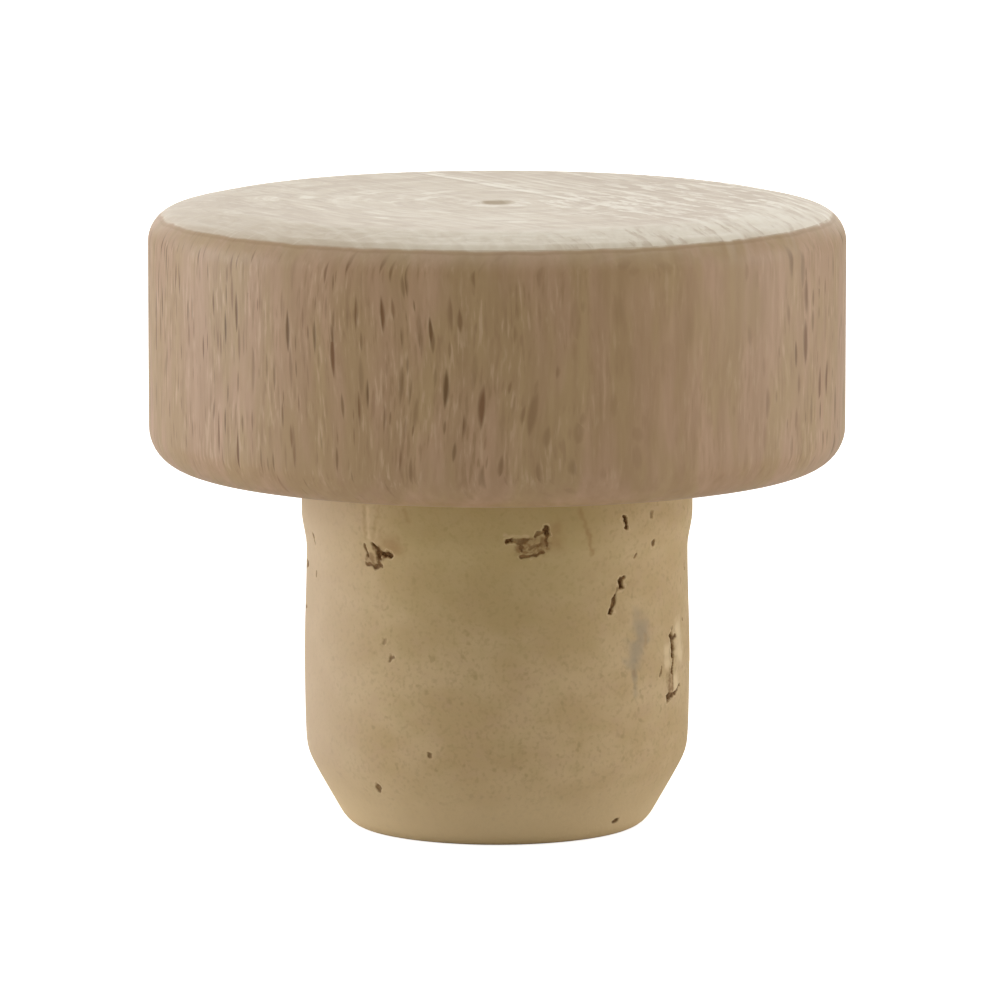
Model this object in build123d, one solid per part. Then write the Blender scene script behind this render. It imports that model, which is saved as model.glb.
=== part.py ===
from build123d import *
import os
from math import tan, radians

# Wooden bottle stopper: a turned beech head with a natural cork shank glued into it.
# The axis is Z, the cork's flat end lies on Z = 0, and every size is in millimetres.

# Beech head
head_diameter = 34.4
head_height = 13.1
top_slope_width = 3.2  # the outer band of the top falls gently to the rim
top_slope_drop = 0.7
head_top_round = 1.6
head_bottom_round = 1.95
centre_mark_diameter = 1.7
centre_mark_depth = 0.3

# Blind socket bored in the head's underside
socket_depth = 3.0
socket_mouth_chamfer = 0.3
glue_gap = 0.05  # between the cork's side and the socket's wall

# Cork: a blank, ground down to the size of the bottle's neck below its collar
blank_diameter = 19.4
shank_diameter = 19.0
visible_length = 17.9  # from the head's underside to the cork's flat end
collar_height = 2.3  # what stays at the blank's diameter below the head
run_out_height = 1.9  # the curve that the grinding wheel left below the collar
bevel_height = 3.7
bevel_angle = 30.3  # from the axis, in degrees
bevel_shoulder_round = 3.0
end_round = 0.7
cork_top_chamfer = 0.3

# Heights that follow from them
underside_z = visible_length
head_top_z = underside_z + head_height
socket_floor_z = underside_z + socket_depth
collar_foot_z = underside_z - collar_height
ground_top_z = collar_foot_z - run_out_height


def turned(*edges):
    """Close a half section, drawn in X and Z beside the axis, and turn it about Z."""
    with BuildPart() as piece:
        with BuildSketch(Plane.XZ):
            with BuildLine():
                for edge in edges:
                    add(edge)
            make_face()
        revolve(axis=Axis.Z)
    return piece.part


def wooden_head():
    """Round-edged puck with the mark of the lathe centre on top and the cork's socket below."""
    head_radius = head_diameter / 2
    mark_radius = centre_mark_diameter / 2
    bore_radius = blank_diameter / 2 + glue_gap
    mouth_radius = bore_radius + socket_mouth_chamfer

    mark = Polyline((0, head_top_z - centre_mark_depth), (mark_radius, head_top_z))
    outside = FilletPolyline(
        (mark_radius, head_top_z),
        (head_radius - top_slope_width, head_top_z),
        (head_radius, head_top_z - top_slope_drop),
        (head_radius, underside_z),
        (mouth_radius, underside_z),
        radius=(0, head_top_round, head_bottom_round),
    )
    socket = Polyline(
        (mouth_radius, underside_z),
        (bore_radius, underside_z + socket_mouth_chamfer),
        (bore_radius, socket_floor_z),
        (0, socket_floor_z),
    )
    axis = Line((0, socket_floor_z), (0, head_top_z - centre_mark_depth))
    return turned(mark, outside, socket, axis)


def cork_shank():
    """Cork with its top in the socket, a collar under the head and a bevelled lower end."""
    blank_radius = blank_diameter / 2
    shank_radius = shank_diameter / 2
    end_radius = shank_radius - bevel_height * tan(radians(bevel_angle))

    top = Polyline(
        (0, socket_floor_z),
        (blank_radius - cork_top_chamfer, socket_floor_z),
        (blank_radius, socket_floor_z - cork_top_chamfer),
        (blank_radius, collar_foot_z),
    )
    run_out = TangentArc((shank_radius, ground_top_z), (blank_radius, collar_foot_z), tangent=(0, 1))
    ground = FilletPolyline(
        (shank_radius, ground_top_z),
        (shank_radius, bevel_height),
        (end_radius, 0),
        (0, 0),
        radius=(bevel_shoulder_round, end_round),
    )
    axis = Line((0, 0), (0, socket_floor_z))
    return turned(top, run_out, ground, axis)


os.makedirs("parts", exist_ok=True)
export_step(wooden_head(), "parts/wooden_head.step")
export_step(cork_shank(), "parts/cork_shank.step")
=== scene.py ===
"""Wooden bottle stopper: a turned beech head with a natural cork shank glued into its underside."""
import math
import random

import bmesh
import bpy
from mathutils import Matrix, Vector, noise


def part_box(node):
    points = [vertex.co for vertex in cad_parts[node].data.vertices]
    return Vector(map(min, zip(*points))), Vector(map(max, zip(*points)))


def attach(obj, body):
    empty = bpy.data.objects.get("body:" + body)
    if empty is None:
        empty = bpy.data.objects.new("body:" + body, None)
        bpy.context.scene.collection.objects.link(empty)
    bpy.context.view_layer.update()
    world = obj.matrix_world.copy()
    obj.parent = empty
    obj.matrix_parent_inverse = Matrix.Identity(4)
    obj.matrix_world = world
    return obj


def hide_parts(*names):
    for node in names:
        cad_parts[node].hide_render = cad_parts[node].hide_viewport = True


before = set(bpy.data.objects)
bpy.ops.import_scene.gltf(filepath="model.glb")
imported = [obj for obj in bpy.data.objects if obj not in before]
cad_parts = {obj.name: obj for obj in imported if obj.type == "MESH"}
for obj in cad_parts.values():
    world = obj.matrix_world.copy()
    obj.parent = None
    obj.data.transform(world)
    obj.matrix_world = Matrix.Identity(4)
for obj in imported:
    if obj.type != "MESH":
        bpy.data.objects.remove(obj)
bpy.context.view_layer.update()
MM = 0.001

# Wooden head. One piece of beech, turned on a lathe with the grain along its axis. The top is
# faced off with a pointed tool, a little hollow and falling to the rim, which leaves fine rings
# and a mark at the centre. The edges are rounded and sanded, and a socket for the cork is bored.
head_low, head_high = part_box("wooden_head")
cork_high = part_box("cork_shank")[1]
head_radius = min(head_high.x, head_high.y)
head_sides = 256
top_slope = math.radians(12.3)  # how the outer band of the top falls to the rim
top_spare = 0.01 * MM  # what the top stays below the CAD's, for the tool's ridges
slope_starts = 14.0 * MM
slope_blend = 0.4 * MM
hollow_radius = 13.0 * MM
hollow_depth = 0.15 * MM
top_round = 1.6 * MM
foot_round = 1.95 * MM
round_steps = 12
glue_gap = 0.05 * MM
socket_radius = cork_high.x + glue_gap
socket_chamfer = 0.3 * MM
tool_pitch = 0.34 * MM
tool_ridge = 0.016 * MM
mark_radius = 0.85 * MM
mark_depth = 0.3 * MM
mark_steps = ((0.10, 0.1), (0.25, 0.35), (0.3, 0.35), (0.2, 0.15))  # shares of width and depth
head_crease = math.radians(50)


def start_piece(name):
    """Name the primitive just added and open it for editing, with nothing selected."""
    piece = bpy.context.object
    piece.name = piece.data.name = name
    bpy.ops.object.transform_apply(location=True, rotation=True, scale=True)
    bpy.ops.object.mode_set(mode="EDIT")
    bpy.ops.mesh.select_all(action="DESELECT")
    return piece


def pick_faces(piece, wanted):
    """Select only the faces for which wanted is true."""
    mesh = bmesh.from_edit_mesh(piece.data)
    bpy.ops.mesh.select_all(action="DESELECT")
    bpy.ops.mesh.select_mode(type="FACE")
    for face in mesh.faces:
        face.select = wanted(face)
    mesh.select_flush_mode()
    bmesh.update_edit_mesh(piece.data)


def end_piece(piece):
    """Merge doubles, turn every face outwards, close the edit and shade smooth."""
    bpy.ops.mesh.select_all(action="SELECT")
    bpy.ops.mesh.remove_doubles(threshold=1e-7)
    bpy.ops.mesh.normals_make_consistent(inside=False)
    bpy.ops.object.mode_set(mode="OBJECT")
    bpy.ops.object.shade_smooth()


def turn_edge(radius, sweep):
    """Round the edge of the selected end face with an arc of this radius and angle."""
    for step in range(round_steps):
        here, there = (sweep * k / round_steps for k in (step, step + 1))
        bpy.ops.mesh.inset(
            thickness=radius * (math.cos(here) - math.cos(there)),
            depth=radius * (math.sin(there) - math.sin(here)),
        )


def top_height(radius):
    """Height of the faced top at this distance from the axis, from the level of its flat part."""
    beyond = radius - slope_starts
    fall = math.tan(top_slope) * (beyond + math.hypot(beyond, slope_blend)) / 2
    return -fall - hollow_depth * max(1 - (radius / hollow_radius) ** 2, 0)


bpy.ops.object.select_all(action="DESELECT")
top_sweep = math.pi / 2 - top_slope
faced_radius = head_radius - top_round * (1 - math.cos(top_sweep))
rim_fall = math.tan(top_slope) * (faced_radius - slope_starts)
side_top = head_high.z - rim_fall - top_round * math.sin(top_sweep) - top_spare
side_foot = head_low.z + foot_round
bpy.ops.mesh.primitive_cylinder_add(
    vertices=head_sides,
    radius=head_radius,
    depth=side_top - side_foot,
    location=(0, 0, (side_top + side_foot) / 2),
)
head = start_piece("wooden_head_turned")

# The top: the rounded edge, then rings in to the mark of the lathe centre
pick_faces(head, lambda face: face.normal.z > 0 and len(face.verts) == head_sides)
turn_edge(top_round, top_sweep)
rings = int((faced_radius - mark_radius) / tool_pitch)
rise = random.Random(7)
groove = 0.0
for ring in range(rings):
    outer = faced_radius - ring * tool_pitch
    inner = outer - tool_pitch
    climb = top_height(inner) - top_height(outer)
    step = -groove if ring % 2 else -tool_ridge * rise.uniform(0.3, 1.0)
    bpy.ops.mesh.inset(thickness=tool_pitch, depth=climb + step)
    groove += step
mark_width = faced_radius - rings * tool_pitch
for share, drop in mark_steps:
    bpy.ops.mesh.inset(thickness=mark_width * share, depth=-mark_depth * drop)

# The underside: its rounded edge, a flat for the bottle's lip, and the socket for the cork
pick_faces(head, lambda face: face.normal.z < 0 and len(face.verts) == head_sides)
turn_edge(foot_round, math.pi / 2)
lip_width = head_radius - foot_round - socket_radius - socket_chamfer
for _ in range(2):
    bpy.ops.mesh.inset(thickness=lip_width / 2, depth=0)
bpy.ops.mesh.inset(thickness=socket_chamfer, depth=-socket_chamfer)
bpy.ops.mesh.extrude_region_move(
    TRANSFORM_OT_translate={"value": (0, 0, cork_high.z - head_low.z - socket_chamfer)}
)
end_piece(head)
head.data.set_sharp_from_angle(angle=head_crease)

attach(head, "root")
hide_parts("wooden_head")


def node(tree, kind, inputs=(), **settings):
    """Add a shader node with these settings, its inputs linked or filled by name or number."""
    made = tree.nodes.new("ShaderNode" + kind)
    for name, value in settings.items():
        setattr(made, name, value)
    for key, value in dict(inputs).items():
        if isinstance(value, bpy.types.NodeSocket):
            tree.links.new(value, made.inputs[key])
        else:
            made.inputs[key].default_value = value
    return made


def maths(tree, operation, *values):
    """One Math node, as the socket that it puts out."""
    return node(tree, "Math", enumerate(values), operation=operation).outputs[0]


def product(tree, first, *others):
    """Values multiplied one after another."""
    for other in others:
        first = maths(tree, "MULTIPLY", first, other)
    return first


def vector_maths(tree, operation, *values, put_out="Vector"):
    """One Vector Math node, as the socket that it puts out."""
    return node(tree, "VectorMath", enumerate(values), operation=operation).outputs[put_out]


def split(tree, value, kind="XYZ"):
    """The parts of a vector, or with kind Color those of a colour."""
    return node(tree, "Separate" + kind, {0: value}).outputs


def ramp(tree, value, low, high, to_low=0.0, to_high=1.0):
    """Map low..high to to_low..to_high smoothly, and hold the ends."""
    inputs = {"Value": value, "From Min": low, "From Max": high, "To Min": to_low, "To Max": to_high}
    return node(tree, "MapRange", inputs, interpolation_type="SMOOTHSTEP").outputs["Result"]


def blend(tree, factor, first, second):
    """Mix two colours."""
    return node(tree, "Mix", {0: factor, 6: first, 7: second}, data_type="RGBA").outputs[2]


def scaled(tree, vector, scale, move=(0, 0, 0)):
    """Scale a vector and move it, for one layer of a pattern."""
    inputs = {"Vector": vector, "Scale": scale, "Location": move}
    return node(tree, "Mapping", inputs, vector_type="POINT").outputs["Vector"]


def cloud(tree, vector, scale, detail=2.0, move=(0, 0, 0), put_out=0):
    """Noise with this many waves to a unit of the vector along each axis."""
    inputs = {"Vector": scaled(tree, vector, scale, move), "Scale": 1.0, "Detail": detail}
    return node(tree, "TexNoise", inputs).outputs[put_out]


def new_group(name, inputs, outputs):
    """Start a node group with these named sockets, and return its tree and its input node."""
    tree = bpy.data.node_groups.new(name, "ShaderNodeTree")
    for way, sockets in (("INPUT", inputs), ("OUTPUT", outputs)):
        for label, kind in sockets:
            tree.interface.new_socket(name=label, in_out=way, socket_type="NodeSocket" + kind)
    return tree, tree.nodes.new("NodeGroupInput")


def end_group(tree, values):
    """Link what the group puts out."""
    out = tree.nodes.new("NodeGroupOutput")
    for label, socket in values.items():
        tree.links.new(socket, out.inputs[label])


# Beech: its growth rings stand 160 mm from the pith, and its rays run out from the pith as thin
# ribbons. Cut across, they are dark flecks 1 to 2 mm tall, and cut along, broad soft patches.
pith_distance = 160.0
ray_direction = math.radians(31)
to_mm = (1000, 1000, 1000)

beech, given = new_group(
    "beech figure",
    [("Position", "Vector"), ("Facing", "Vector")],
    [
        ("Side", "Color"),
        ("Side height", "Float"),
        ("End", "Color"),
        ("End height", "Float"),
        ("Dashes", "Float"),
    ],
)

# The marks are strongest where the surface cuts across the rays and stands upright
facing = given.outputs["Facing"]
along_rays = (math.cos(ray_direction), math.sin(ray_direction), 0)
crossing = vector_maths(beech, "DOT_PRODUCT", facing, along_rays, put_out="Value")
cut_across = ramp(beech, maths(beech, "ABSOLUTE", crossing), 0.05, 0.65, 0.18, 1.0)
leaning = maths(beech, "ABSOLUTE", split(beech, facing)[2])
upright = ramp(beech, leaning, 0.15, 0.65, 1.0, 0.25)
ray_contrast = product(beech, cut_across, upright)
fibre_contrast = product(beech, ramp(beech, cut_across, 0.2, 1.0, 0.6, 1.35), upright)

# Where the point lies in the log, in mm: out from the pith, round it, and up, a little wavy
turn_back = {"Vector": given.outputs["Position"], "Angle": -ray_direction}
turned = node(beech, "VectorRotate", turn_back, rotation_type="Z_AXIS").outputs[0]
in_log = scaled(beech, turned, to_mm, (pith_distance, 0, 0))
wander = cloud(beech, in_log, (0.12, 0.12, 0.10), 1.0, put_out="Color")
drift = vector_maths(beech, "SUBTRACT", wander, (0.5, 0.5, 0.5))
drift = vector_maths(beech, "MULTIPLY", drift, (1.0, 1.0, 0.0))
place = split(beech, vector_maths(beech, "ADD", in_log, drift))
out_squared = product(beech, place[0], place[0])
aside_squared = product(beech, place[1], place[1])
out_from_pith = maths(beech, "SQRT", maths(beech, "ADD", out_squared, aside_squared))
round_pith = product(beech, maths(beech, "ARCTAN2", place[1], place[0]), pith_distance)
log = node(beech, "CombineXYZ", {0: out_from_pith, 1: round_pith, 2: place[2]}).outputs[0]


def ray_flecks(tree, vector, cell, size, keep, shift):
    """Lens-shaped rays, one to a cell of a jittered grid, as (strength, chance of the cell).

    cell and size are in mm: outwards from the pith, round it, and up.
    """
    at = scaled(tree, vector, tuple(1 / c for c in cell), shift)
    cells = node(tree, "TexVoronoi", {"Vector": at, "Scale": 1.0, "Randomness": 0.9}, feature="F1")
    off = split(tree, vector_maths(tree, "SUBTRACT", at, cells.outputs["Position"]))
    luck = split(tree, cells.outputs["Color"], "Color")
    length = ramp(tree, luck[0], 0, 1, 0.60, 1.10)

    def share(axis):
        """How far out along one axis of the lens this point is."""
        return maths(tree, "DIVIDE", product(tree, off[axis], cell[axis] / size[axis]), length)

    outwards, up = share(0), share(2)
    flat = maths(tree, "ADD", product(tree, outwards, outwards), product(tree, up, up))
    across = maths(tree, "ABSOLUTE", share(1))
    inside = maths(tree, "SUBTRACT", maths(tree, "SUBTRACT", 1.0, flat), across)
    kept = ramp(tree, luck[1], 1 - keep, 1 - 0.6 * keep, 0.0, 1.0)
    uneven = ramp(tree, luck[1], 0.40, 0.80, 0.30, 1.0)
    return product(tree, ramp(tree, inside, -0.15, 0.75), product(tree, kept, uneven)), luck[2]


strong, strong_luck = ray_flecks(
    beech, log, cell=(1.1, 0.50, 2.4), size=(0.45, 0.145, 1.20), keep=0.95, shift=(0.3, 0.1, 0.2)
)
faint, faint_luck = ray_flecks(
    beech, log, cell=(1.2, 0.40, 1.5), size=(0.55, 0.090, 0.65), keep=0.85, shift=(5.3, 2.1, 7.2)
)
streaks = cloud(beech, log, (1.9, 1.9, 0.22), 3.0)
fibres = cloud(beech, log, (5.5, 5.5, 0.75), 2.0)
coarse_spots = cloud(beech, log, (0.6, 0.6, 0.35), 2.0, (2.2, 5.1, 8.3))
fibre_contrast = product(beech, fibre_contrast, ramp(beech, coarse_spots, 0.35, 0.62, 0.25, 1.25))
warmth = cloud(beech, log, (0.55, 0.55, 0.13), 2.0, (3.1, 8.4, 1.7))
bands = cloud(beech, log, (0.9, 0.05, 0.02), 2.0)

pink_beech = (0.575, 0.372, 0.235, 1)
olive_beech = (0.515, 0.352, 0.183, 1)
brown_beech = (0.400, 0.248, 0.130, 1)
pale_fibre = (0.670, 0.480, 0.310, 1)
red_ray = (0.240, 0.112, 0.042, 1)
brown_ray = (0.185, 0.100, 0.032, 1)
colour = blend(beech, ramp(beech, warmth, 0.38, 0.62), olive_beech, pink_beech)
colour = blend(beech, ramp(beech, streaks, 0.3, 0.7, 0.38, 0.0), colour, brown_beech)
colour = blend(beech, ramp(beech, bands, 0.35, 0.7, 0.32, 0.0), colour, brown_beech)
dark_fibre = product(beech, ramp(beech, fibres, 0.30, 0.48, 0.50, 0.0), fibre_contrast)
light_fibre = product(beech, ramp(beech, fibres, 0.54, 0.70, 0.0, 0.36), fibre_contrast)
colour = blend(beech, dark_fibre, colour, brown_beech)
colour = blend(beech, light_fibre, colour, pale_fibre)
ray_colour = blend(beech, strong_luck, brown_ray, red_ray)
faint_contrast = product(beech, ray_contrast, 0.65)
colour = blend(beech, product(beech, faint, faint_contrast), colour, ray_colour)
colour = blend(beech, product(beech, strong, ray_contrast), colour, ray_colour)
side_height = product(beech, fibres, 0.35)
side_height = maths(beech, "SUBTRACT", side_height, product(beech, strong, 0.8))
side_height = maths(beech, "SUBTRACT", side_height, product(beech, faint, 0.35))

# End grain: growth rings, one of them wide and pale with a dark line inside it, and fine rays
pale_end = (0.735, 0.622, 0.480, 1)
brown_end = (0.570, 0.440, 0.315, 1)
white_end = (0.980, 0.905, 0.780, 1)
ring_lines = cloud(beech, log, (2.1, 0.09, 0.0), 2.0, (1.3, 0.2, 4.0))
ring_bands = cloud(beech, log, (0.7, 0.04, 0.0), 1.0, (6.3, 1.2, 2.0))
ray_lines = cloud(beech, log, (0.16, 3.2, 0.0), 1.0, (0.7, 3.3, 9.0))
dashes = cloud(beech, log, (2.5, 0.55, 0.0), 3.0, (4.4, 7.7, 0.5))
clear_ring = pith_distance + 3.85
dark_line = clear_ring - 0.42
outer_wood = ramp(beech, out_from_pith, clear_ring - 1.0, clear_ring + 1.0, 0.35, 1.0)
dark_rings = product(beech, ramp(beech, ring_lines, 0.34, 0.52, 0.70, 0.0), outer_wood)
pale_rings = product(beech, ramp(beech, ring_lines, 0.54, 0.66, 0.0, 0.75), outer_wood)
end_colour = blend(beech, dark_rings, pale_end, brown_end)
end_colour = blend(beech, ramp(beech, ring_bands, 0.35, 0.65, 0.25, 0.0), end_colour, brown_end)
end_colour = blend(beech, ramp(beech, ray_lines, 0.58, 0.75, 0.0, 0.35), end_colour, white_end)
end_colour = blend(beech, pale_rings, end_colour, white_end)
from_ring = maths(beech, "ABSOLUTE", maths(beech, "SUBTRACT", out_from_pith, clear_ring))
from_dark = maths(beech, "ABSOLUTE", maths(beech, "SUBTRACT", out_from_pith, dark_line))
end_colour = blend(beech, ramp(beech, from_dark, 0.06, 0.24, 0.65, 0.0), end_colour, brown_end)
end_colour = blend(beech, ramp(beech, from_ring, 0.10, 0.36, 0.90, 0.0), end_colour, white_end)
end_height = maths(beech, "ADD", ring_lines, product(beech, ray_lines, 0.6))
end_group(
    beech,
    {
        "Side": colour,
        "Side height": side_height,
        "End": end_colour,
        "End height": end_height,
        "Dashes": dashes,
    },
)


def new_material(name):
    """A material with an empty Principled BSDF, as (material, tree, shader, object position)."""
    material = bpy.data.materials.new(name)
    material.use_nodes = True
    tree = material.node_tree
    tree.nodes.clear()
    shader = tree.nodes.new("ShaderNodeBsdfPrincipled")
    output = tree.nodes.new("ShaderNodeOutputMaterial")
    tree.links.new(shader.outputs[0], output.inputs[0])
    position = tree.nodes.new("ShaderNodeTexCoord").outputs["Object"]
    return material, tree, shader, position


def finish(tree, shader, colour, height, strength, depth, roughness, specular):
    """Give a shader its colour, its relief (strength, and depth in m) and its gloss."""
    bump = node(tree, "Bump", {"Height": height, "Strength": strength, "Distance": depth})
    tree.links.new(colour, shader.inputs["Base Color"])
    tree.links.new(bump.outputs[0], shader.inputs["Normal"])
    shader.inputs["Roughness"].default_value = roughness
    shader.inputs["Specular IOR Level"].default_value = specular


# The turned side and the rounds, sanded smooth, going over to end grain where they turn upwards
side, tree, shader, position = new_material("sanded beech side")
normal = node(tree, "NewGeometry").outputs["Normal"]
figure = node(tree, "Group", {"Position": position, "Facing": normal}, node_tree=beech)
upwards = split(tree, normal)[2]
waver = product(tree, maths(tree, "SUBTRACT", cloud(tree, position, (700, 700, 0)), 0.5), 0.12)
brim = maths(tree, "ADD", upwards, waver)
brim_line = 0.75
upper_round = ramp(tree, upwards, 0.1, 0.75, 0.0, 0.20)
end_grain = maths(tree, "MAXIMUM", ramp(tree, brim, 0.78, 0.85), upper_round)
end_grain = maths(tree, "ADD", end_grain, ramp(tree, upwards, -0.97, -0.995, 0.0, 0.7))
colour = blend(tree, end_grain, figure.outputs["Side"], figure.outputs["End"])
# A thin brown line along the brim, where the top turns down to the side: painted shade at the edge
brim_shade_distance = maths(tree, "ABSOLUTE", maths(tree, "SUBTRACT", brim, brim_line))
colour = blend(tree, ramp(tree, brim_shade_distance, 0.0, 0.06, 0.40, 0.0), colour, brown_beech)
# Browner where the lower round turns downwards: painted shade on the underside
colour = blend(tree, ramp(tree, upwards, -0.65, -0.15, 0.15, 0.0), colour, brown_beech)
height = figure.outputs["Side height"]
finish(tree, shader, colour, height, strength=0.4, depth=0.03 * MM, roughness=0.5, specular=0.5)

# The faced top: end grain crossed by the fine rings of the tool. Each pattern is in mm.
top, tree, shader, position = new_material("faced beech top")
figure = node(tree, "Group", {"Position": position}, node_tree=beech)
dashes = figure.outputs["Dashes"]
flat = vector_maths(tree, "MULTIPLY", position, (1000, 1000, 0))
from_axis = vector_maths(tree, "LENGTH", flat, put_out="Value")
across, back, _ = split(tree, flat)
torn = cloud(tree, flat, (0.22, 0.22, 1.0), 2.0)
turns = node(tree, "CombineXYZ", {0: from_axis, 1: product(tree, torn, 5.0)}).outputs[0]
arcs = cloud(tree, turns, (0.9, 1.0, 1.0), 3.0)
tool_lines = cloud(tree, turns, (2.6, 1.0, 1.0), 3.0, (7.1, 2.2, 0.0))
grit = cloud(tree, flat, (1.2, 0.6, 1.0), 2.0)
sideways = maths(tree, "ABSOLUTE", across)
sideways = maths(tree, "DIVIDE", sideways, maths(tree, "ADD", from_axis, 0.01))
inner = ramp(tree, from_axis, 12.0, 14.2, 1.0, 0.15)

# Torn arcs of the tool, darker, with painted highlights along their bright parts; then the browner
# left, right and back of the top
colour = blend(tree, ramp(tree, arcs, 0.34, 0.48, 0.50, 0.0), figure.outputs["End"], brown_end)
# Painted highlights on the bright parts of the tool's arcs
painted_arc_highlights = product(
    tree, ramp(tree, arcs, 0.53, 0.63), ramp(tree, torn, 0.40, 0.60, 0.15, 0.65), inner
)
colour = blend(tree, painted_arc_highlights, colour, white_end)
to_left = product(
    tree, ramp(tree, across, -15.0, -9.0, 0.35, 0.0), ramp(tree, from_axis, 11.0, 14.0)
)
to_right = product(tree, ramp(tree, across, 2.0, 8.0, 0.0, 0.30), inner)
to_back = product(tree, ramp(tree, back, 3.0, 9.0, 0.0, 0.50), ramp(tree, from_axis, 12.5, 14.5))
outer_tint = maths(tree, "MAXIMUM", to_back, maths(tree, "MAXIMUM", to_left, to_right))
colour = blend(tree, outer_tint, colour, brown_end)

# The sloping band, painted paler at the front and the right: painted light on the rim band
painted_band_light = product(
    tree,
    ramp(tree, from_axis, 12.5, 14.5),
    ramp(tree, back, -7.0, 2.0, 0.80, 0.0),
    ramp(tree, across, -10.0, 0.0, 0.10, 1.0),
    ramp(tree, grit, 0.35, 0.6, 0.65, 1.0),
)
colour = blend(tree, painted_band_light, colour, white_end)

# Broken ring lines on the right: painted shade between them, and painted glints where the tool crossed
# them
painted_glint_shade = product(tree, ramp(tree, dashes, 0.36, 0.47, 0.50, 0.0), ramp(tree, across, 0.0, 6.0))
colour = blend(tree, painted_glint_shade, colour, brown_end)
painted_glints = product(
    tree,
    ramp(tree, dashes, 0.50, 0.62, 0.0, 0.8),
    ramp(tree, tool_lines, 0.36, 0.52, 0.4, 1.0),
    ramp(tree, sideways, 0.45, 0.80, 0.15, 1.0),
    ramp(tree, across, -4.0, 4.0, 0.35, 1.0),
    ramp(tree, from_axis, 14.5, 16.2, 1.0, 0.4),
)
colour = blend(tree, painted_glints, colour, white_end)
colour = blend(tree, ramp(tree, from_axis, 0.20, 0.55, 0.25, 0.0), colour, brown_beech)
height = product(tree, tool_lines, ramp(tree, grit, 0.35, 0.65, 0.35, 1.0))
height = maths(tree, "ADD", height, product(tree, arcs, 0.8))
height = maths(tree, "ADD", height, product(tree, figure.outputs["End height"], 0.25))
finish(tree, shader, colour, height, strength=0.8, depth=0.08 * MM, roughness=0.45, specular=0.5)

head.data.materials.clear()
head.data.materials.append(side)
head.data.materials.append(top)
faced_tilt = math.radians(32)
faced_low = head_high.z - 1.5 * MM
for face in head.data.polygons:
    if face.center.z > faced_low and face.normal.z > math.cos(faced_tilt):
        face.material_index = 1

# Cork shank. A punched blank of natural cork, its top glued in the head's socket, ground to the
# neck size below a short collar, with a long bevel at the lower end so that it starts easily.
# Its pits are cut-open pores of the bark: dark brown, ragged and powdery inside.
cork_sides = 240
collar_foot = head_low.z - 2.3 * MM
ground_top = head_low.z - 4.1 * MM
ground_middle = head_low.z - 9.8 * MM
bevel_top = 3.68 * MM
collar_radius = cork_high.x - 0.03 * MM
waist_radius = 9.43 * MM
middle_radius = 9.55 * MM
shoulder_radius = 9.51 * MM
bevel_slope = math.tan(math.radians(30.0))
shoulder_blend = 0.15 * MM
end_round = 0.7 * MM
end_round_share = 0.6
end_steps = 6
row_height = 0.25 * MM
mark_cuts = 4
cork_crease = math.radians(70)


def soft_step(value, low, high):
    """0 below low, 1 above high, smooth between."""
    share = min(max((value - low) / (high - low), 0.0), 1.0)
    return share * share * (3 - 2 * share)


def cork_radius(z):
    """The turned outline of the cork: collar, run-out, slight barrel, bevel and end round."""
    if z > collar_foot:
        return collar_radius
    if z > ground_top:
        return waist_radius + (collar_radius - waist_radius) * soft_step(z, ground_top, collar_foot)
    if z > ground_middle:
        return middle_radius + (waist_radius - middle_radius) * soft_step(z, ground_middle, ground_top)
    shank = shoulder_radius + (middle_radius - shoulder_radius) * soft_step(z, bevel_top, ground_middle)
    bevel = shoulder_radius - (bevel_top - z) * bevel_slope
    outline = (shank + bevel - math.hypot(shank - bevel, 2 * shoulder_blend)) / 2
    if z < end_round:
        outline -= (end_round - math.sqrt(end_round**2 - (end_round - z) ** 2)) * end_round_share
    return outline


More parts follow.
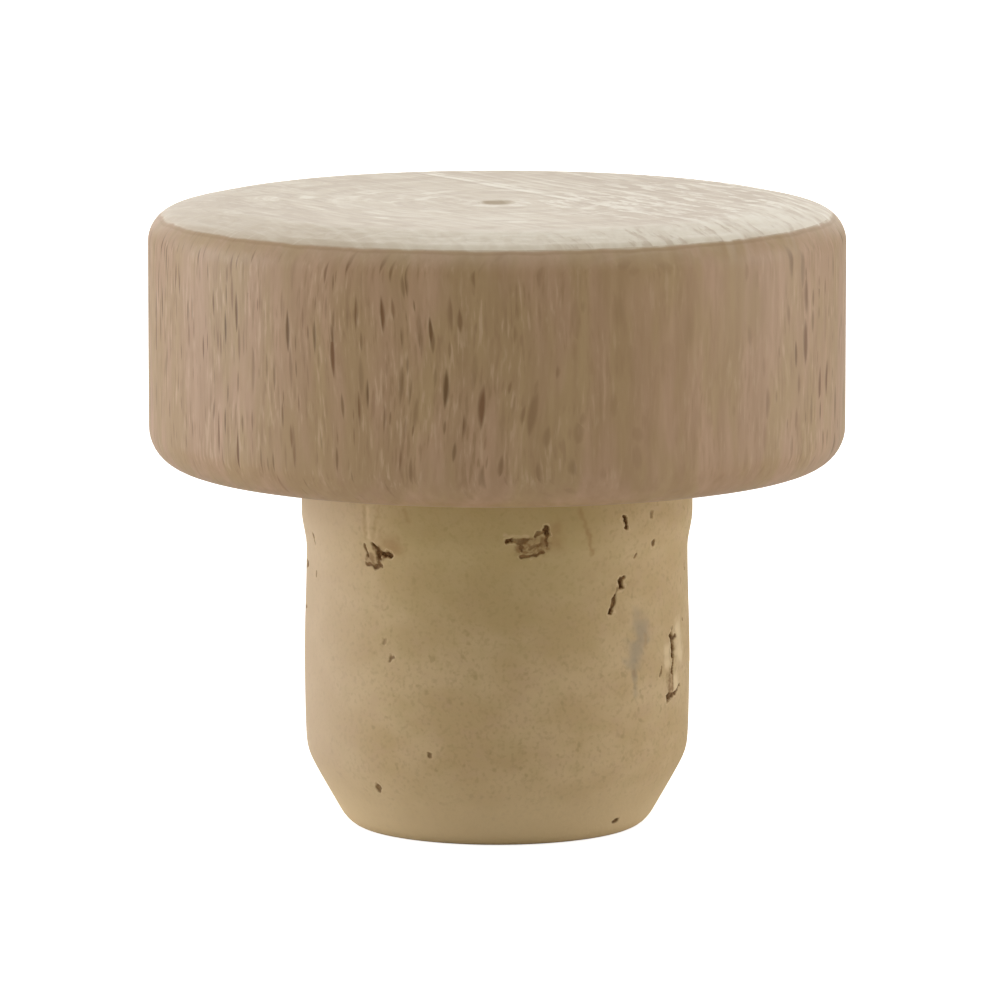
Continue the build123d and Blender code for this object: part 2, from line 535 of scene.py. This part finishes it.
# Marks in the cork: kind, then from (degrees round from the front, mm up) to (degrees, mm up),
# width in mm and strength. A pit is cut in, and the other kinds only colour the cork.
marks = [
    ("pit", -42.5, 14.80, -41.3, 14.30, 0.17, 0.65),
    ("pit", -39.0, 14.95, -36.3, 14.50, 0.24, 0.75),
    ("pit", -36.3, 14.50, -33.0, 14.50, 0.26, 0.95),
    ("pit", -37.4, 14.65, -37.5, 14.30, 0.28, 0.80),
    ("pit", -42.6, 13.95, -39.2, 13.80, 0.15, 0.60),
    ("pit", -39.2, 13.80, -36.8, 13.90, 0.20, 0.70),
    ("pit", -36.8, 13.90, -37.6, 14.15, 0.16, 0.55),
    ("fill", -40.4, 14.15, -38.6, 14.05, 0.45, 0.65),
    ("fill", -38.0, 14.75, -36.0, 14.45, 0.35, 0.80),
    ("halo", -34.6, 15.05, -30.5, 14.90, 0.75, 0.85),
    ("pit", 2.7, 15.40, 4.1, 15.45, 0.21, 0.90),
    ("pit", 4.1, 15.45, 5.7, 15.40, 0.13, 0.50),
    ("pit", 5.7, 15.40, 8.6, 15.40, 0.18, 0.60),
    ("pit", 6.6, 15.35, 7.1, 15.00, 0.20, 0.60),
    ("pit", 6.8, 14.60, 9.7, 14.65, 0.16, 0.65),
    ("pit", 9.7, 14.65, 13.4, 14.80, 0.16, 0.65),
    ("pit", 9.6, 15.05, 12.6, 15.25, 0.17, 0.45),
    ("fill", 8.2, 15.05, 12.8, 15.15, 0.60, 0.75),
    ("pit", 14.3, 16.05, 14.2, 15.75, 0.25, 0.90),
    ("pit", 14.3, 15.75, 14.3, 15.10, 0.17, 0.60),
    ("pit", 11.7, 15.80, 11.0, 15.60, 0.17, 0.60),
    ("pit", 11.8, 15.80, 13.8, 15.80, 0.15, 0.55),
    ("halo", 17.0, 15.90, 17.3, 15.15, 0.60, 0.70),
    ("pale", 2.0, 15.70, 8.8, 15.65, 0.14, 0.35),
    ("scratch", 24.4, 16.80, 27.0, 15.80, 0.20, 0.55),
    ("scratch", 27.0, 15.80, 29.0, 14.60, 0.20, 0.75),
    ("pit", 39.8, 16.25, 40.8, 15.70, 0.22, 0.95),
    ("pit", 51.1, 16.30, 51.1, 16.10, 0.24, 0.40),
    ("pit", 53.0, 14.85, 53.0, 14.60, 0.20, 0.65),
    ("pit", 45.4, 14.30, 45.4, 14.20, 0.16, 0.55),
    ("pit", 77.9, 13.20, 78.2, 12.90, 0.18, 0.60),
    ("pit", 74.1, 10.50, 74.1, 10.45, 0.18, 0.45),
    ("pit", -71.2, 14.90, -70.3, 14.30, 0.17, 0.60),
    ("pit", -70.4, 12.90, -70.4, 12.75, 0.18, 0.45),
    ("pit", -35.3, 10.30, -35.3, 10.15, 0.20, 0.30),
    ("pit", -33.4, 9.30, -32.4, 9.50, 0.20, 0.50),
    ("pit", 41.2, 13.30, 39.7, 13.10, 0.20, 0.75),
    ("pit", 39.6, 13.10, 39.8, 12.80, 0.30, 0.95),
    ("pit", 38.6, 12.75, 37.4, 12.40, 0.12, 0.40),
    ("pit", 37.4, 12.40, 35.9, 11.70, 0.17, 0.80),
    ("pit", 35.8, 11.70, 35.4, 11.60, 0.26, 0.95),
    ("halo", 40.2, 11.45, 40.4, 11.20, 0.50, 0.30),
    ("halo", 44.9, 13.10, 44.9, 13.00, 0.50, 0.25),
    ("stain", 46.9, 11.35, 47.3, 10.90, 0.60, 0.45),
    ("stain", 47.5, 10.75, 48.0, 10.10, 0.95, 0.70),
    ("stain", 45.6, 9.70, 44.8, 9.20, 0.95, 0.75),
    ("stain", 44.5, 8.80, 44.8, 8.30, 0.40, 0.65),
    ("stain", 44.9, 8.30, 45.4, 7.30, 0.28, 0.45),
    ("scratch", 49.6, 10.25, 49.8, 9.75, 0.20, 0.40),
    ("scratch", 44.4, 8.60, 44.7, 8.35, 0.22, 0.40),
    ("pit", 65.0, 10.35, 64.8, 10.15, 0.15, 0.60),
    ("pit", 64.0, 9.95, 64.6, 9.80, 0.34, 1.00),
    ("pit", 64.8, 9.80, 67.0, 9.80, 0.20, 0.80),
    ("pit", 64.2, 9.60, 64.8, 8.85, 0.29, 1.00),
    ("pit", 64.8, 8.85, 64.2, 8.10, 0.20, 0.80),
    ("fill", 63.2, 7.95, 63.4, 7.40, 0.40, 0.70),
    ("pit", 61.6, 6.90, 62.4, 6.95, 0.33, 1.00),
    ("pit", 62.6, 6.95, 67.5, 7.05, 0.22, 0.80),
    ("pit", 67.5, 7.05, 70.2, 7.35, 0.18, 0.60),
    ("pale", 68.8, 10.20, 70.5, 8.80, 0.75, 0.95),
    ("pale", 66.8, 7.75, 67.5, 7.30, 0.50, 1.00),
    ("pale", 60.9, 9.30, 60.7, 8.60, 0.45, 0.80),
    ("pit", 57.7, 8.45, 57.0, 8.10, 0.18, 0.50),
    ("pit", -20.3, 4.85, -20.3, 4.72, 0.20, 0.55),
    ("pit", -40.0, 2.95, -40.5, 2.75, 0.26, 0.60),
    ("pit", 46.2, 0.85, 48.3, 0.95, 0.22, 0.80),
    ("scratch", -42.2, 16.75, -41.4, 15.20, 0.18, 0.40),
    ("scratch", -36.4, 16.80, -39.1, 15.15, 0.18, 0.35),
    ("scratch", -27.7, 16.85, -26.4, 16.30, 0.22, 0.45),
    ("pale", -40.6, 16.70, -40.3, 15.30, 0.18, 0.40),
]

# The bark's pores run from front to back: round dots there, and short level lines on the two sides
side_pores = 34
foot_pores = 9
chance = random.Random(23)
for _ in range(side_pores):
    turn = chance.uniform(84, 276)
    height = chance.uniform(1.2, 16.8)
    dark = chance.uniform(0.45, 1.0)
    if abs(math.sin(math.radians(turn))) > 0.75:
        length = chance.uniform(2, 11)
        lean = chance.uniform(-0.25, 0.25)
        width = chance.uniform(0.12, 0.26)
        marks.append(("pit", turn, height, turn + length, height + lean, width, dark))
    else:
        for _ in range(chance.choice((1, 1, 2, 4))):
            turn += chance.uniform(-2.5, 2.5)
            height += chance.uniform(-0.4, 0.4)
            to = (turn + chance.uniform(-1.5, 1.5), height + chance.uniform(-0.5, 0.5))
            width = chance.uniform(0.15, 0.40)
            strength = dark * chance.uniform(0.6, 1.0)
            marks.append(("pit", turn, height, *to, width, strength))
        if dark > 0.7:
            marks.append(("fill", turn - 2, height, turn + 2, height + 0.2, 0.55, 0.6))
            marks.append(("halo", turn - 3, height, turn + 3, height, 0.9, 0.6))

# On the foot they are thin lines from front to back: (mm right, mm back) to (right, back)
foot_marks = []
for _ in range(foot_pores):
    across = chance.uniform(-5.5, 5.5)
    back = chance.uniform(-5.0, 3.5)
    reach = chance.uniform(0.4, 2.6)
    lean = chance.uniform(-0.25, 0.25)
    width = chance.uniform(0.12, 0.3)
    strength = chance.uniform(0.5, 1.0)
    foot_marks.append(("pit", (across, back, across + lean, back + reach), width, strength))


def from_line(right, up, line):
    """Distance in mm of a point from a mark's line."""
    x1, y1, x2, y2 = line
    run, climb = x2 - x1, y2 - y1
    long = run * run + climb * climb
    share = min(max(((right - x1) * run + (up - y1) * climb) / long, 0.0), 1.0) if long else 0.0
    return math.hypot(right - x1 - share * run, up - y1 - share * climb)


def unrolled(mark):
    """A mark of the cork's side with mm round the cork in the place of degrees."""
    kind, turn_1, up_1, turn_2, up_2, width, strength = mark
    mm_per_degree = math.radians(1) * shoulder_radius / MM
    return kind, (turn_1 * mm_per_degree, up_1, turn_2 * mm_per_degree, up_2), width, strength


side_marks = [unrolled(mark) for mark in marks]
half_round = math.pi * shoulder_radius / MM
counted_on = -75 / 180 * half_round  # past this on the left, places are counted on from the right


def unroll(place):
    """(mm round the cork from the front, mm up) of a point on the side."""
    round_mm = math.atan2(place.x, -place.y) * shoulder_radius / MM
    return round_mm + (2 * half_round if round_mm < counted_on else 0), place.z / MM


def near_mark(face):
    """Whether a face of the cork lies at a mark, where the mesh has to be fine."""
    middle = face.calc_center_median()
    margin = 0.25
    if middle.z > head_low.z:
        return False
    if face.normal.z < -0.99:
        right, back = middle.x / MM, middle.y / MM
        return any(from_line(right, back, line) < width + margin for _, line, width, _ in foot_marks)
    right, up = unroll(middle)
    return any(
        kind in ("pit", "scratch") and from_line(right, up, line) < width * 0.9 + margin
        for kind, line, width, _ in side_marks
    )


# The blank's end, drawn down row by row to the foot, and then inset to a small middle
bpy.ops.object.select_all(action="DESELECT")
rows = [cork_high.z, head_low.z + 1.5 * MM]
z = head_low.z
while z > end_round + row_height:
    rows.append(z)
    z -= row_height
rows += [end_round * (1 - math.sin(math.radians(90 * k / end_steps))) for k in range(end_steps + 1)]
bpy.ops.mesh.primitive_circle_add(
    vertices=cork_sides, radius=collar_radius, fill_type="NGON", location=(0, 0, cork_high.z)
)
cork = start_piece("cork_shank_ground")
bpy.ops.mesh.select_all(action="SELECT")
before = cork_radius(rows[0])
for upper, lower in zip(rows, rows[1:]):
    bpy.ops.mesh.extrude_region_move(TRANSFORM_OT_translate={"value": (0, 0, lower - upper)})
    now = cork_radius(lower)
    bpy.ops.transform.resize(value=(now / before, now / before, 1), center_override=(0, 0, lower))
    before = now
foot_radius = before
while before > row_height:
    bpy.ops.mesh.inset(thickness=row_height, depth=0)
    before -= row_height
pick_faces(cork, near_mark)
bpy.ops.mesh.subdivide(number_cuts=mark_cuts)
end_piece(cork)

# Each pit is cut in: the points at it move inwards by a ragged depth. The points also carry the
# marks for the colours, as "pits" (nearness, strength, brown fill) and "tints" (halo, stain, pale
# rim, scratch). The seed keeps the ragged edges the same in every run.
pit_depth = 0.34 * MM
tear_seed = 3
tear_reach = 0.12
tear_size = 0.24 * MM
coarse_size = 0.40 * MM
fine_size = 0.16 * MM
noise.seed_set(tear_seed)
pits = cork.data.attributes.new("pits", "FLOAT_COLOR", "POINT")
tints = cork.data.attributes.new("tints", "FLOAT_COLOR", "POINT")
for vertex in cork.data.vertices:
    at = vertex.co
    near, dark, fill, cut = 0.0, 0.0, 0.0, 0.0
    tint = {"halo": 0.0, "stain": 0.0, "pale": 0.0, "scratch": 0.0}
    if at.z < head_low.z:
        on_foot = at.z < 1e-6 and at.xy.length < foot_radius - 1e-5
        right, up = (at.x / MM, at.y / MM) if on_foot else unroll(at)
        tear = noise.noise_vector(at / tear_size) * tear_reach
        right, up = right + tear.x, up + tear.y
        coarse = noise.noise(at / coarse_size)
        fine = noise.noise(at / fine_size + Vector((5, 5, 5)))
        for kind, line, width, strength in foot_marks if on_foot else side_marks:
            low, high = sorted((line[0], line[2]))
            if not low - 1.5 * width < right < high + 1.5 * width:
                continue
            away = from_line(right, up, line)
            if away > 1.6 * width:
                continue
            if kind == "pit":
                wide = soft_step(width, 0.10, 0.40)
                closeness = 1 - away / width + (0.10 + 0.20 * wide) * (coarse + 0.6 * fine)
                if closeness > near:
                    near, dark = closeness, strength
                depth = pit_depth * (0.35 + 0.65 * wide) * strength**1.5
                cut = max(cut, depth * soft_step(closeness, 0.35, 0.85))
            elif kind == "fill":
                fill = max(fill, strength * (1 - soft_step(away, 0.6 * width, width)))
            else:
                if kind != "scratch":
                    away += 0.35 * coarse * width
                tint[kind] = max(tint[kind], strength * (1 - soft_step(away, 0, width)))
        if on_foot:
            vertex.co.z += cut
        else:
            vertex.co.xy = at.xy.normalized() * (cork_radius(at.z) - cut)
    pits.data[vertex.index].color = (near, dark, fill, 1)
    tints.data[vertex.index].color = tuple(tint.values())
cork.data.update()
cork.data.set_sharp_from_angle(angle=cork_crease)

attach(cork, "root")
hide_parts("cork_shank")

# Natural cork: mottled tan, with painted shade making it darker and greener towards the head at the
# middle, a painted pale sheen making the left pinker, and painted light making the bevel paler
natural, tree, shader, position = new_material("natural cork")
in_mm = scaled(tree, position, to_mm)
mottle = cloud(tree, in_mm, (0.30, 0.30, 0.45), 2.0)
patches = cloud(tree, in_mm, (0.9, 0.9, 1.2), 2.0, (4.0, 1.0, 7.0))
cells = cloud(tree, in_mm, (4.5, 4.5, 4.5), 2.0)
dots = cloud(tree, in_mm, (2.4, 2.4, 2.4), 1.0, (9.0, 2.0, 5.0))
speck = cloud(tree, in_mm, (9.0, 9.0, 9.0), 2.0)
pale_cork = (0.710, 0.535, 0.308, 1)
tan_cork = (0.635, 0.462, 0.246, 1)
red_cork = (0.650, 0.455, 0.280, 1)
green_cork = (0.605, 0.465, 0.235, 1)
head_shade_olive = (0.480, 0.372, 0.150, 1)
painted_left_sheen = (0.720, 0.560, 0.400, 1)
painted_bevel_light = (0.840, 0.660, 0.400, 1)
dark_cell = (0.480, 0.335, 0.175, 1)
halo_brown = (0.400, 0.220, 0.090, 1)
pit_brown = (0.115, 0.050, 0.010, 1)
pit_rust = (0.260, 0.135, 0.045, 1)
stain_grey = (0.345, 0.290, 0.225, 1)
pale_rim = (0.860, 0.680, 0.420, 1)
right, _, up = split(tree, in_mm)
aside = maths(tree, "ABSOLUTE", right)
colour = blend(tree, ramp(tree, mottle, 0.35, 0.65), tan_cork, pale_cork)
colour = blend(tree, ramp(tree, patches, 0.50, 0.72, 0.0, 0.35), colour, red_cork)
colour = blend(tree, ramp(tree, patches, 0.28, 0.50, 0.35, 0.0), colour, green_cork)
colour = blend(tree, ramp(tree, cells, 0.48, 0.72, 0.0, 0.35), colour, dark_cell)
colour = blend(tree, ramp(tree, dots, 0.64, 0.78, 0.0, 0.55), colour, dark_cell)
# Paler and pinker towards the left edge: a painted sheen of the left lamp
colour = blend(tree, ramp(tree, right, -9.6, -5.0, 0.65, 0.0), colour, painted_left_sheen)
# Darker and more olive towards the head, most at the middle: painted shade under the head's overhang
painted_head_shade = product(tree, ramp(tree, up, 7.0, 17.0, 0.0, 0.60), ramp(tree, aside, 3.0, 7.5, 1.0, 0.15))
colour = blend(tree, painted_head_shade, colour, head_shade_olive)
# Paler towards the foot: painted light on the bevel, from the floor
colour = blend(tree, ramp(tree, up, 0.2, 4.5, 0.85, 0.0), colour, painted_bevel_light)

# The marks, from the points' attributes, with edges that the cells break up
tints = node(tree, "Attribute", attribute_name="tints").outputs
halo, stain, pale = split(tree, tints["Color"], "Color")
scratch = tints["Alpha"]
near, dark, fill = split(tree, node(tree, "Attribute", attribute_name="pits").outputs["Color"], "Color")
ragged = maths(tree, "ADD", near, product(tree, maths(tree, "SUBTRACT", speck, 0.5), 0.45))
lip = product(tree, ramp(tree, ragged, 0.02, 0.15), ramp(tree, ragged, 0.20, 0.40, 0.40, 0.0), dark)
brown_fill = product(tree, fill, ramp(tree, cells, 0.38, 0.60, 0.45, 1.0))
scorched = product(tree, ramp(tree, ragged, 0.25, 0.65), product(tree, dark, 0.55))
inside = product(tree, ramp(tree, ragged, 0.42, 0.66), dark)
colour = blend(tree, pale, colour, pale_rim)
colour = blend(tree, product(tree, stain, 0.8), colour, stain_grey)
colour = blend(tree, product(tree, halo, 0.6), colour, halo_brown)
colour = blend(tree, lip, colour, pale_rim)
colour = blend(tree, brown_fill, colour, pit_rust)
colour = blend(tree, scorched, colour, halo_brown)
colour = blend(tree, product(tree, scratch, 0.7), colour, halo_brown)
powder = blend(tree, ramp(tree, speck, 0.45, 0.66), pit_brown, pit_rust)
colour = blend(tree, inside, colour, powder)
height = maths(tree, "ADD", cells, product(tree, inside, product(tree, speck, 3.0)))
finish(tree, shader, colour, height, strength=0.3, depth=0.04 * MM, roughness=0.7, specular=0.25)
cork.data.materials.clear()
cork.data.materials.append(natural)

# Floor: a plain pale sheet of paper, lifted to white for the camera only, with the object's
# shadow left on it.
paper_side = 4.0
bpy.ops.object.select_all(action="DESELECT")
bpy.ops.mesh.primitive_plane_add(size=paper_side, location=(0, 0, 0))
floor = bpy.context.object
floor.name = "floor"
paper = bpy.data.materials.new("white paper")
paper.use_nodes = True
tree = paper.node_tree
tree.nodes.clear()
looked_at = node(tree, "LightPath").outputs["Is Camera Ray"]
sheet = node(tree, "BsdfDiffuse", {"Color": (0.9, 0.9, 0.9, 1)})
lift = node(tree, "Emission", {"Color": (1, 1, 1, 1), "Strength": product(tree, looked_at, 0.80)})
both = node(tree, "AddShader", {0: sheet.outputs[0], 1: lift.outputs[0]})
output = tree.nodes.new("ShaderNodeOutputMaterial")
tree.links.new(both.outputs[0], output.inputs[0])
floor.data.materials.append(paper)

# Light: a pale tent, a little dimmer on the camera's side and white only for the camera, with
# soft lamps at the left, the right, above, above in front, and behind.
world = bpy.data.worlds.new("white tent")
bpy.context.scene.world = world
world.use_nodes = True
tree = world.node_tree
tree.nodes.clear()
tent_front = (0.265, 0.250, 0.205, 1)
tent_sides = (0.310, 0.295, 0.250, 1)
looked_at = node(tree, "LightPath").outputs["Is Camera Ray"]
direction = split(tree, node(tree, "TexCoord").outputs["Generated"])
tent_light = blend(tree, ramp(tree, direction[1], -1.0, -0.4), tent_front, tent_sides)
tent_light = blend(tree, looked_at, tent_light, (1, 1, 1, 1))
sky = node(tree, "Background", {"Color": tent_light, "Strength": 1.0})
output = tree.nodes.new("ShaderNodeOutputWorld")
tree.links.new(sky.outputs[0], output.inputs[0])


def softbox(name, direction, distance, width, height, level, colour=(1, 1, 1)):
    """An area lamp facing the cork. At level 1 alone it lights a white card facing it to white."""
    aim = Vector((0, 0, 0.014))
    way = Vector(direction).normalized()
    light = bpy.data.lights.new(name, "AREA")
    light.shape = "RECTANGLE"
    light.size = width
    light.size_y = height
    light.color = colour
    light.energy = level * (math.pi * distance) ** 2
    lamp = bpy.data.objects.new(name, light)
    lamp.location = aim + way * distance
    lamp.rotation_euler = (-way).to_track_quat("-Z", "Y").to_euler()
    lamp.visible_camera = False
    bpy.context.scene.collection.objects.link(lamp)


softbox("left softbox", (-1.0, 0.15, 0.20), 0.30, 0.24, 0.16, 0.47, (1, 1.03, 1.13))
softbox("right softbox", (1.0, 0.12, 0.20), 0.30, 0.24, 0.16, 0.33, (1, 1, 1.05))
softbox("top softbox", (0.0, 0.1, 1.0), 0.40, 0.50, 0.30, 0.16)
softbox("front top softbox", (0.0, -0.35, 1.0), 0.40, 0.50, 0.30, 0.13)
softbox("back softbox", (0.0, 1.0, 0.35), 0.50, 0.60, 0.30, 0.33)

# Camera: 8 degrees above the horizon and 420 mm from the foot of the head, with a long lens.
camera_distance = 0.42
camera_elevation = math.radians(8.0)
sensor_mm = 36.0
lens_mm = 305.8
photo_width = 1000
aim_pixel = (497.1, 462.8)
aim = Vector((0, 0, head_low.z))
data = bpy.data.cameras.new("camera")
data.sensor_width = sensor_mm
data.lens = lens_mm
data.clip_start = 0.01
data.clip_end = 10.0
data.shift_x = (photo_width / 2 - aim_pixel[0]) / photo_width
data.shift_y = (aim_pixel[1] - photo_width / 2) / photo_width
camera = bpy.data.objects.new("camera", data)
back = Vector((0, -math.cos(camera_elevation), math.sin(camera_elevation)))
camera.location = aim + back * camera_distance
camera.rotation_euler = (-back).to_track_quat("-Z", "Y").to_euler()
bpy.context.scene.collection.objects.link(camera)
bpy.context.scene.camera = camera

bpy.context.scene.view_settings.view_transform = "Standard"
